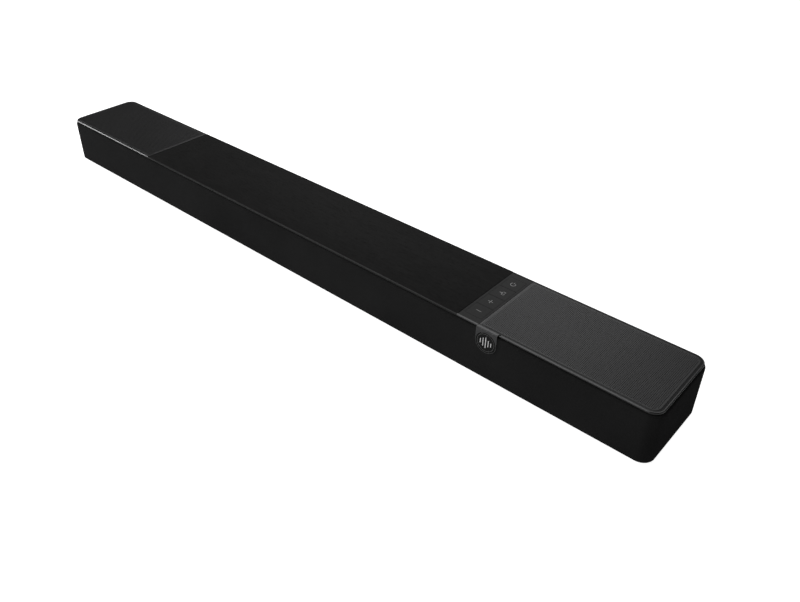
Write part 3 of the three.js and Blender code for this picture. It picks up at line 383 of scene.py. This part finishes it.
def mesh_of(name, points, faces):
    """A mesh from its points and faces."""
    mesh = bpy.data.meshes.new(name)
    mesh.from_pydata([tuple(p) for p in points], [], faces)
    mesh.validate()
    return mesh


def sharpen(thing, degrees=35):
    """Keeps edges crisp where two faces meet at more than this angle."""
    thing.data.set_sharp_from_angle(angle=math.radians(degrees))


def lofted(rings, close_rings=True, close_loop=False):
    """Points and quads between rings of equal length."""
    count = len(rings[0])
    points = [p for ring in rings for p in ring]
    faces = []
    last = len(rings) if close_loop else len(rings) - 1
    steps = count if close_rings else count - 1
    for k in range(last):
        a, b = k * count, ((k + 1) % len(rings)) * count
        for i in range(steps):
            j = (i + 1) % count
            faces.append((a + i, a + j, b + j, b + i))
    return points, faces


def turned(profile, steps):
    """A profile of (radius, height) turned about Z. It starts and ends on the axis."""
    points, faces = [], []
    inner = profile[1:-1]
    for k in range(steps):
        angle = math.tau * k / steps
        points += [(r * math.cos(angle), r * math.sin(angle), h) for r, h in inner]
    count = len(inner)
    for k in range(steps):
        a, b = k * count, ((k + 1) % steps) * count
        faces += [(a + i, b + i, b + i + 1, a + i + 1) for i in range(count - 1)]
    for tip, end in ((profile[0], 0), (profile[-1], count - 1)):
        points.append((0, 0, tip[1]))
        for k in range(steps):
            pair = (k * count + end, ((k + 1) % steps) * count + end)
            faces.append((len(points) - 1, *(pair if end else pair[::-1])))
    return points, faces


def outward(mesh):
    """Turns every face of a closed mesh outwards."""
    work = bmesh.new()
    work.from_mesh(mesh)
    bmesh.ops.recalc_face_normals(work, faces=work.faces)
    work.to_mesh(mesh)
    work.free()


def slab(name, low, high, edge, finish, **keys):
    """A plate with rounded edges."""
    work = bmesh.new()
    bmesh.ops.create_cube(work, size=1)
    size = high - low
    bmesh.ops.transform(work, matrix=Matrix.Diagonal((*size, 1)), verts=work.verts)
    bmesh.ops.translate(work, vec=(low + high) / 2, verts=work.verts)
    bmesh.ops.bevel(work, geom=work.edges, offset=edge, segments=3, profile=0.5, affect="EDGES")
    mesh = bpy.data.meshes.new(name)
    work.to_mesh(mesh)
    work.free()
    thing = made(name, mesh, finish, **keys)
    sharpen(thing)
    return thing


def arc(centre, radius, start, end, steps):
    """Points and outward directions on an arc, angles in degrees."""
    out = []
    for k in range(steps + 1):
        angle = math.radians(start + (end - start) * k / steps)
        way = Vector((math.cos(angle), math.sin(angle)))
        out.append((Vector(centre) + way * radius, way))
    return out


# ---------------------------------------------------------------- cloth
def cloth_path():
    """Places and outward directions along the cloth, round the front from one rear edge to the other."""
    low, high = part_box("fabric_wrap")
    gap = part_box("rear_cover_right")[1].x + CLOTH_END_GAP
    r = CLOTH_CORNER
    right, back = high.x, high.y
    path = [(Vector((-gap, back)), Vector((0, 1)))]
    path += arc((-right + r, back - r), r, 90, 180, 10)
    path += [(Vector((-right, y * back)), Vector((-1, 0))) for y in (0.5, 0.25, 0, -0.25, -0.5)]
    path += arc((-right + r, -back + r), r, 180, 270, 14)
    front = 110
    for k in range(1, front):
        path.append((Vector(((-1 + 2 * k / front) * (right - r), -back)), Vector((0, -1))))
    path += arc((right - r, -back + r), r, 270, 360, 14)
    path += [(Vector((right, y * back)), Vector((1, 0))) for y in (-0.5, -0.25, 0, 0.25, 0.5)]
    path += arc((right - r, back - r), r, 0, 90, 10)
    path.append((Vector((gap, back)), Vector((0, 1))))
    return path


def cloth_profile():
    """(inset, height) pairs up the cloth: turned under, up the face, over the round top edge and in."""
    low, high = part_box("fabric_wrap")
    bottom = low.z - CLOTH_THICK
    profile = [(CLOTH_TURN, bottom)]
    for angle in (math.pi / 2 * k / 4 for k in range(5)):
        profile.append((CLOTH_HEM * (1 - math.sin(angle)), bottom + CLOTH_HEM * (1 - math.cos(angle))))
    top = high.z - CLOTH_TOP_ROLL
    profile += [(0, bottom + CLOTH_HEM + (top - bottom - CLOTH_HEM) * k / 8) for k in range(1, 9)]
    for angle in (math.pi / 2 * k / 6 for k in range(1, 7)):
        profile.append((CLOTH_TOP_ROLL * (1 - math.cos(angle)), top + CLOTH_TOP_ROLL * math.sin(angle)))
    profile.append((CLOTH_TURN - 0.2 * MM, high.z - 0.1 * MM))
    profile.append((CLOTH_TURN, high.z - 0.5 * MM))
    return profile


def make_cloth():
    """One stretched sheet, whose UVs are the cloth's own lengths in metres."""
    path, profile = cloth_path(), cloth_profile()
    rings, widths, heights = [], [0.0], [0.0]
    for place, way in path:
        rings.append([Vector((*(place - way * inset), z)) for inset, z in profile])
    for (a, _), (b, _) in zip(path, path[1:]):
        widths.append(widths[-1] + (b - a).length)
    for a, b in zip(profile, profile[1:]):
        heights.append(heights[-1] + math.dist(a, b))
    points, faces = lofted(rings, close_rings=False)
    mesh = mesh_of("cloth_wrap", points, faces)
    outward(mesh)
    lengths = mesh.uv_layers.new(name="lengths")
    count = len(profile)
    for loop in mesh.loops:
        step, up = divmod(loop.vertex_index, count)
        lengths.data[loop.index].uv = (widths[step], heights[up])
    cloth = made("cloth_wrap", mesh, "cloth", slot="cloth")
    thick = cloth.modifiers.new("thickness", "SOLIDIFY")
    thick.thickness = CLOTH_THICK
    thick.offset = -1
    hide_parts("fabric_wrap")


# ---------------------------------------------------------------- perforated grilles
def rounded_ring(x_seam, x_end, half, inset, z):
    """A closed ring round a grille: square at the seam, round at the bar's end."""
    sign = 1 if x_end > x_seam else -1
    near = abs(x_seam) + inset
    far = abs(x_end) - inset
    side = half - inset
    corner = max(GRILLE_CORNER - inset, 0.5 * MM)
    ring = []
    for k in range(24):
        ring.append((near + (far - corner - near) * k / 24, -side))
    ring += [tuple(p) for p, _ in arc((far - corner, -side + corner), corner, -90, 0, 10)]
    for k in range(1, 10):
        ring.append((far, (side - corner) * (-1 + 2 * k / 10)))
    ring += [tuple(p) for p, _ in arc((far - corner, side - corner), corner, 0, 90, 10)]
    for k in range(1, 25):
        ring.append((far - corner - (far - corner - near) * k / 24, side))
    for k in range(1, 12):
        ring.append((near, side * (1 - 2 * k / 12)))
    return [Vector((sign * x, y, z)) for x, y in ring]


def inside_field(x, y, near, far, side, corner):
    """Whether a point is on a grille's perforated field."""
    if not (near <= x <= far and abs(y) <= side):
        return False
    dx, dy = x - (far - corner), abs(y) - (side - corner)
    return dx <= 0 or dy <= 0 or math.hypot(dx, dy) <= corner


def perforated_sheet(x_seam, x_end, half, inset, z):
    """The flat field with its holes, as points, faces and the loops of its holes."""
    sign = 1 if x_end > x_seam else -1
    border = rounded_ring(x_seam, x_end, half, inset, z)
    keep = inset + HOLE_CLEAR
    near, far, side = abs(x_seam) + keep, abs(x_end) - keep, half - keep
    corner = GRILLE_CORNER - keep
    cell = HOLE_PITCH / math.sqrt(3)
    turns = [Vector((math.cos(a), math.sin(a))) for a in (math.pi / 3 * k for k in range(6))]
    columns = int((far - near) / (HOLE_PITCH * math.sqrt(3) / 2))
    rows = int(side / HOLE_PITCH) + 1
    spare = (far - near) - columns * HOLE_PITCH * math.sqrt(3) / 2
    points, faces, holes, shared, edges = [], [], [], {}, {}

    def corner_index(place):
        key = (round(place.x / SAME_PLACE), round(place.y / SAME_PLACE))
        if key not in shared:
            shared[key] = len(points)
            points.append(Vector((sign * place.x, place.y, z)))
        return shared[key]

    for column in range(columns + 1):
        x = near + spare / 2 + column * HOLE_PITCH * math.sqrt(3) / 2
        for row in range(-rows, rows + 1):
            centre = Vector((x, (row + 0.5 * (column % 2)) * HOLE_PITCH))
            ring = [centre + turn * cell for turn in turns]
            if not all(inside_field(p.x, p.y, near, far, side, corner) for p in ring):
                continue
            outer = [corner_index(p) for p in ring]
            first = len(points)
            points += [
                Vector((sign * (centre.x + turn.x * HOLE_RADIUS), centre.y + turn.y * HOLE_RADIUS, z))
                for turn in turns
            ]
            hole = list(range(first, first + 6))
            holes.append(hole)
            for k in range(6):
                j = (k + 1) % 6
                faces.append((outer[k], outer[j], hole[j], hole[k]))
                edge = tuple(sorted((outer[k], outer[j])))
                edges[edge] = edges.get(edge, 0) + 1
    rim = [edge for edge, uses in edges.items() if uses == 1]
    return points, faces, holes, border, rim


def fill_between(points, border, rim):
    """Triangles between the field's border and the outermost holes' cells."""
    work = bmesh.new()
    used = sorted({i for edge in rim for i in edge})
    verts = {i: work.verts.new(points[i]) for i in used}
    lines = [work.edges.new((verts[a], verts[b])) for a, b in rim]
    around = [work.verts.new(p) for p in border]
    lines += [work.edges.new((around[k], around[(k + 1) % len(around)])) for k in range(len(around))]
    bmesh.ops.triangle_fill(work, edges=lines, use_beauty=True, use_dissolve=False)
    work.verts.index_update()
    name_of = {v.index: i for i, v in verts.items()}
    offset = len(points)
    name_of.update({v.index: offset + k for k, v in enumerate(around)})
    faces = [tuple(name_of[v.index] for v in face.verts) for face in work.faces]
    work.free()
    return faces


def make_grille(side):
    """A folded sheet: fold, plain border, step, and a field of holes, closed underneath."""
    node = f"grille_{side}"
    low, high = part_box(node)
    x_seam, x_end = (low.x, high.x) if side == "right" else (high.x, low.x)
    half, top = high.y, high.z
    border_z = top - GRILLE_STEP
    outside = [  # (inset, height) up the fold, in over the border and up the step
        (GRILLE_SHEET, low.z),
        (0, low.z),
        (0, border_z - 0.25 * MM),
        (0.08 * MM, border_z - 0.06 * MM),
        (0.25 * MM, border_z),
        (GRILLE_MARGIN, border_z),
        (GRILLE_MARGIN + 0.1 * MM, border_z + 0.04 * MM),
        (GRILLE_MARGIN + 0.45 * MM, top - 0.04 * MM),
        (GRILLE_MARGIN + 0.55 * MM, top),
        (GRILLE_FIELD, top),
    ]
    inside = [  # and back down the other face of the sheet
        (GRILLE_FIELD, top - GRILLE_SHEET),
        (GRILLE_MARGIN + 0.5 * MM, top - GRILLE_SHEET),
        (GRILLE_MARGIN + 0.1 * MM, border_z - GRILLE_SHEET),
        (GRILLE_SHEET, border_z - GRILLE_SHEET),
        (GRILLE_SHEET, low.z),
    ]
    rings_out = [rounded_ring(x_seam, x_end, half, inset, z) for inset, z in outside]
    rings_in = [rounded_ring(x_seam, x_end, half, inset, z) for inset, z in inside]
    points, faces, holes, border, rim = perforated_sheet(x_seam, x_end, half, GRILLE_FIELD, top)
    top_faces = faces + fill_between(points, border, rim)
    sheet = points + border
    count = len(sheet)
    down = Vector((0, 0, -GRILLE_SHEET))
    every = sheet + [p + down for p in sheet]
    under_faces = [tuple(i + count for i in reversed(face)) for face in top_faces]
    walls = [
        (hole[k], hole[(k + 1) % 6], hole[(k + 1) % 6] + count, hole[k] + count)
        for hole in holes
        for k in range(6)
    ]
    all_faces = top_faces + under_faces + walls
    for rings in (rings_out, rings_in):
        ring_points, ring_faces = lofted(rings)
        start = len(every)
        every += ring_points
        all_faces += [tuple(i + start for i in face) for face in ring_faces]
    mesh = mesh_of(f"{node}_perforated", every, all_faces)
    work = bmesh.new()
    work.from_mesh(mesh)
    bmesh.ops.remove_doubles(work, verts=work.verts, dist=0.004 * MM)
    bmesh.ops.recalc_face_normals(work, faces=work.faces)
    work.to_mesh(mesh)
    work.free()
    grille = made(f"{node}_perforated", mesh, "grille", slot="grille")
    sharpen(grille, 30)
    # second paint: painted shade for the low border band
    grille.data.materials.append(paints["border_painted_shade"])
    grille.data.materials.append(paints["trim"])
    # border faces away from the seam get the painted-shade grey; faces by the right grille's seam get the
    # trim paint
    for face in grille.data.polygons:
        middle = face.center
        from_seam = abs(middle.x) - abs(x_seam)
        on_border = abs(middle.z - border_z) < 0.02 * MM
        if on_border and from_seam > 2 * GRILLE_MARGIN:
            face.material_index = 1
        elif from_seam < GRILLE_MARGIN + 0.5 * MM and side == "right":
            face.material_index = 2
    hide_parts(node)


# ---------------------------------------------------------------- veneer, key symbols
def make_veneer():
    """The wood panel, with softened edges."""
    low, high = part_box("wood_panel")
    veneer = slab("veneer_panel", low, high, VENEER_EDGE, "wood", slot="wood")
    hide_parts("wood_panel")


def strokes(name, lines, width, height, body, finish="icon"):
    """Round-ended flat lines. Each line is (points, closed)."""
    curve = bpy.data.curves.new(name, "CURVE")
    curve.dimensions = "3D"
    curve.bevel_depth = width / 2
    curve.bevel_resolution = 3
    curve.use_fill_caps = True
    for points, closed in lines:
        spline = curve.splines.new("POLY")
        spline.points.add(len(points) - 1)
        for target, point in zip(spline.points, points):
            target.co = (*point, 0, 1)
        spline.use_cyclic_u = closed
    source = bpy.data.objects.new(name + "_line", curve)
    bpy.context.scene.collection.objects.link(source)
    bpy.context.view_layer.update()
    shown = source.evaluated_get(bpy.context.evaluated_depsgraph_get())
    mesh = bpy.data.meshes.new_from_object(shown)
    bpy.data.objects.remove(source)
    mesh.transform(Matrix.Diagonal((1, 1, height / (width / 2), 1)))
    mesh.name = name
    return made(name, mesh, finish, body=body, slot="control_finish")


def symbol_lines():
    """The four symbols on a unit square: lower, raise, choose a source, and power."""
    ring = [
        (0.46 * math.sin(math.radians(a)), -0.06 + 0.46 * math.cos(math.radians(a)))
        for a in range(40, 321, 14)
    ]
    box_left = [(0.02, 0.42), (0.5, 0.42), (0.5, -0.42), (0.02, -0.42)]
    return {
        "minus_key": [([(-0.5, 0), (0.5, 0)], False)],
        "plus_key": [([(-0.48, 0), (0.48, 0)], False), ([(0, -0.48), (0, 0.48)], False)],
        "source_key": [
            (box_left, False),
            ([(-0.5, 0), (0.18, 0)], False),
            ([(-0.08, 0.24), (0.18, 0), (-0.08, -0.24)], False),
        ],
        "power_key": [(ring, False), ([(0, 0.12), (0, 0.56)], False)],
    }


def make_symbols():
    """A printed symbol on each key, which rides with its key."""
    for key, lines in symbol_lines().items():
        low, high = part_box(key)
        middle = (low + high) / 2
        scaled = [([(x * ICON_SIZE, y * ICON_SIZE) for x, y in line], closed) for line, closed in lines]
        mark = strokes(key.replace("_key", "_symbol"), scaled, ICON_LINE, ICON_HEIGHT / 2, key)
        mark.data.transform(Matrix.Translation((middle.x, middle.y, high.z)))


# ---------------------------------------------------------------- badge
def make_badge():
    """A metal tab folded over the front edge, with a round window for its disc."""
    low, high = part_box("badge_tab")
    disc_low, disc_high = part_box("badge_disc")
    x = (low.x + high.x) / 2
    z = (disc_low.z + disc_high.z) / 2
    half = (high.x - low.x) / 2
    window = (disc_high.x - disc_low.x) / 2 + BADGE_FIT
    edge = high.z - BADGE_BEND
    front = low.y
    sides, arcs, across = 6, 28, 14
    outline = [Vector((x - half, edge + (z - edge) * k / sides)) for k in range(sides)]
    outline += [p for p, _ in arc((x, z), half, 180, 360, arcs)]
    outline += [Vector((x + half, z + (edge - z) * k / sides)) for k in range(1, sides + 1)]
    outline += [Vector((x + half - 2 * half * k / across, edge)) for k in range(1, across)]
    centre = Vector((x, z))
    rings = []
    for share in (0.0, 0.12, 0.5, 1.0):
        ring = []
        for p in outline:
            rim = centre + (p - centre).normalized() * window
            spot = rim.lerp(p, share)
            ring.append(Vector((spot.x, front, spot.y)))
        rings.append(ring)
    points, faces = lofted(rings)
    last = 3 * len(outline)  # where the outermost ring starts
    top_row = [last + i for i in range(sides + arcs + sides, len(outline))] + [last]
    for k in range(1, 7):
        angle = math.pi / 2 * k / 6
        shift = Vector((0, BADGE_BEND * (1 - math.cos(angle)), BADGE_BEND * math.sin(angle)))
        row = [points[i] + shift for i in top_row]
        start = len(points)
        points += row
        before = top_row if k == 1 else list(range(start - len(row), start))
        faces += [(before[i], before[i + 1], start + i + 1, start + i) for i in range(len(row) - 1)]
    start, count = len(points), len(top_row)
    before = range(start - count, start)
    points += [Vector((points[i].x, high.y, high.z)) for i in before]
    faces += [(before[i], before[i + 1], start + i + 1, start + i) for i in range(count - 1)]
    mesh = mesh_of("badge_fold", points, faces)
    outward(mesh)
    tab = made("badge_fold", mesh, "badge", slot="badge_metal")
    thick = tab.modifiers.new("thickness", "SOLIDIFY")
    thick.thickness = BADGE_SHEET
    thick.offset = -1
    soft = tab.modifiers.new("edges", "BEVEL")
    soft.width = BADGE_SOFT
    soft.segments = 2
    soft.angle_limit = math.radians(50)
    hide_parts("badge_tab")


def make_badge_disc():
    """A gloss disc with a softened rim, and on it a plain ring and five level bars."""
    low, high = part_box("badge_disc")
    x, z = (low.x + high.x) / 2, (low.z + high.z) / 2
    radius = (high.x - low.x) / 2
    thick = high.y - low.y - DISC_SUNK
    profile = [(0, 0), (radius, 0), (radius, thick - DISC_RIM), (radius - DISC_RIM, thick)]
    profile += [(radius * share, thick) for share in (0.85, 0.6, 0.3)] + [(0, thick)]
    place = Matrix.Translation((x, high.y, z)) @ Matrix.Rotation(math.radians(90), 4, "X")
    mesh = mesh_of("badge_dome", *turned(profile, 64))
    outward(mesh)
    mesh.transform(place)
    dome = made("badge_dome", mesh, "gloss", slot="gloss_black")
    sharpen(dome, 40)
    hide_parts("badge_disc")
    around = radius * MOTIF_RING
    ring = [(around * math.cos(a), around * math.sin(a)) for a in (math.tau * k / 64 for k in range(64))]
    bars = []
    for k, share in enumerate(MOTIF_BARS):
        across = (k - 2) * radius * MOTIF_BAR_PITCH
        bars.append(([(across, -share * radius), (across, share * radius)], False))
    marks = (
        ("badge_ring", [(ring, True)], MOTIF_RING_LINE, "badge_line"),
        ("badge_bars", bars, MOTIF_BAR_LINE, "silver"),
    )
    for name, lines, width, finish in marks:
        mark = strokes(name, lines, width, MOTIF_HEIGHT, "chassis", finish)
        mark.data.transform(place @ Matrix.Translation((0, 0, thick - MOTIF_SUNK)))


# ---------------------------------------------------------------- feet
def make_foot(node):
    """A rubber foot: a dished middle, two tread rings with a groove between them, and a rounded edge."""
    low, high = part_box(node)
    r = (high.x - low.x) / 2
    h = high.z - low.z
    profile = [  # (radius, height) from the middle of the dish to the axis on top
        (0, 0.7 * MM),
        (r * 0.42, 0.7 * MM),
        (r * 0.5, 0.25 * MM),
        (r * 0.54, 0),
        (r * 0.66, 0),
        (r * 0.69, 0.5 * MM),
        (r * 0.73, 0.5 * MM),
        (r * 0.76, 0),
        (r * 0.9, 0),
        (r * 0.96, 0.25 * MM),
        (r * 0.99, 0.8 * MM),
        (r, 1.6 * MM),
        (r, h),
        (0, h),
    ]
    mesh = mesh_of(f"{node}_tread", *turned(profile, 56))
    outward(mesh)
    mesh.transform(Matrix.Translation(((low.x + high.x) / 2, (low.y + high.y) / 2, low.z)))
    foot = made(f"{node}_tread", mesh, "rubber", slot="foot_rubber")
    sharpen(foot, 50)
    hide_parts(node)


# ---------------------------------------------------------------- back
def lip(name, middle, half):
    """A soft-edged lip just inside a rounded opening of half sizes (x, z), with its face at middle."""
    soft = LIP_WIDTH * 0.3
    section = [(0, -LIP_DEPTH), (0, -soft), (soft, 0)]  # (inset, depth), and its mirror image
    section += [(LIP_WIDTH - inset, rise) for inset, rise in reversed(section)]
    rings = []
    for inset, rise in section:
        ring = []
        for k, (sx, sz) in enumerate(((1, 1), (-1, 1), (-1, -1), (1, -1))):
            centre = (sx * (half[0] - POCKET_CORNER), sz * (half[1] - POCKET_CORNER))
            ring += [tuple(p) for p, _ in arc(centre, POCKET_CORNER - inset, 90 * k, 90 * k + 90, 6)]
        rings.append([Vector((middle.x + x, middle.y + rise, middle.z + z)) for x, z in ring])
    points, faces = lofted(rings, close_loop=True)
    mesh = mesh_of(name, points, faces)
    outward(mesh)
    sharpen(made(name, mesh, "control", slot="housing_plastic"))


def make_back():
    """A satin lip round the mouth of each pocket in the back."""
    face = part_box("port_panel")[1].y - LIP_SUNK
    for name, (x, half_width) in POCKETS.items():
        middle = Vector((x, face, POCKET_HEIGHT))
        lip(name, middle, (half_width - FIT, POCKET_HALF_RISE - FIT))


# ---------------------------------------------------------------- camera, light and floor
def make_camera():
    """The view along the bar from above its right-hand front corner."""
    data = bpy.data.cameras.new("camera")
    data.sensor_width = 36
    data.lens = CAMERA_LENS
    data.shift_x, data.shift_y = CAMERA_SHIFT
    data.clip_end = 50
    camera = bpy.data.objects.new("camera", data)
    camera.location = CAMERA_PLACE
    camera.rotation_euler = (math.pi / 2 - CAMERA_TIP, 0, CAMERA_TURN)
    bpy.context.scene.collection.objects.link(camera)
    bpy.context.scene.camera = camera


def softbox(name, place, size, power, aim):
    """A large soft light at a place, turned to its aim."""
    data = bpy.data.lights.new(name, "AREA")
    data.shape = "RECTANGLE"
    data.size, data.size_y = size
    data.energy = power
    light = bpy.data.objects.new(name, data)
    light.location = place
    light.rotation_euler = (Vector(aim) - Vector(place)).to_track_quat("-Z", "Y").to_euler()
    bpy.context.scene.collection.objects.link(light)


def seen_level(tree, unseen, seen, socket):
    """Gives a brightness one level in the picture and another in the light that it sends to the bar."""
    rays = tree.nodes.new("ShaderNodeLightPath")
    level = tree.nodes.new("ShaderNodeMapRange")
    level.inputs["To Min"].default_value = unseen
    level.inputs["To Max"].default_value = seen
    tree.links.new(rays.outputs["Is Camera Ray"], level.inputs["Value"])
    tree.links.new(level.outputs[0], socket)


def make_floor():
    """A plain pale floor."""
    r = FLOOR_REACH
    mesh = mesh_of("floor", [(-r, -r, 0), (r, -r, 0), (r, r, 0), (-r, r, 0)], [(0, 1, 2, 3)])
    floor = bpy.data.objects.new("floor", mesh)
    bpy.context.scene.collection.objects.link(floor)
    shader = Shader("pale_floor")
    shade = shader.noise(1.5, 2.0)
    shader.look(
        Base_Color=shader.ramp(shade, [(0.3, 0.78), (0.7, 0.8)]),
        Roughness=1.0,
        Specular_IOR_Level=0.0,
        Emission_Color=(1, 1, 1, 1),
    )
    seen_level(shader.tree, FLOOR_LEVEL, BACKDROP_LEVEL, shader.surface.inputs["Emission Strength"])
    floor.data.materials.append(shader.material)


def make_light():
    """A white studio with soft lights behind, above, in front and on the left."""
    world = bpy.data.worlds.new("studio")
    world.use_nodes = True
    backdrop = world.node_tree.nodes["Background"]
    backdrop.inputs["Color"].default_value = (1, 1, 1, 1)
    seen_level(world.node_tree, ROOM_LEVEL, 1.0, backdrop.inputs["Strength"])
    bpy.context.scene.world = world
    for name, settings in SOFTBOXES.items():
        softbox(name, *settings)


# ---------------------------------------------------------------- the whole bar
make_cloth()
for end in ("left", "right"):
    make_grille(end)
make_veneer()
make_symbols()
make_badge()
make_badge_disc()
for node in ("foot_front_left", "foot_front_right", "foot_rear_left", "foot_rear_right"):
    make_foot(node)
make_back()
make_camera()
make_light()
make_floor()
bpy.context.scene.view_settings.view_transform = "Standard"
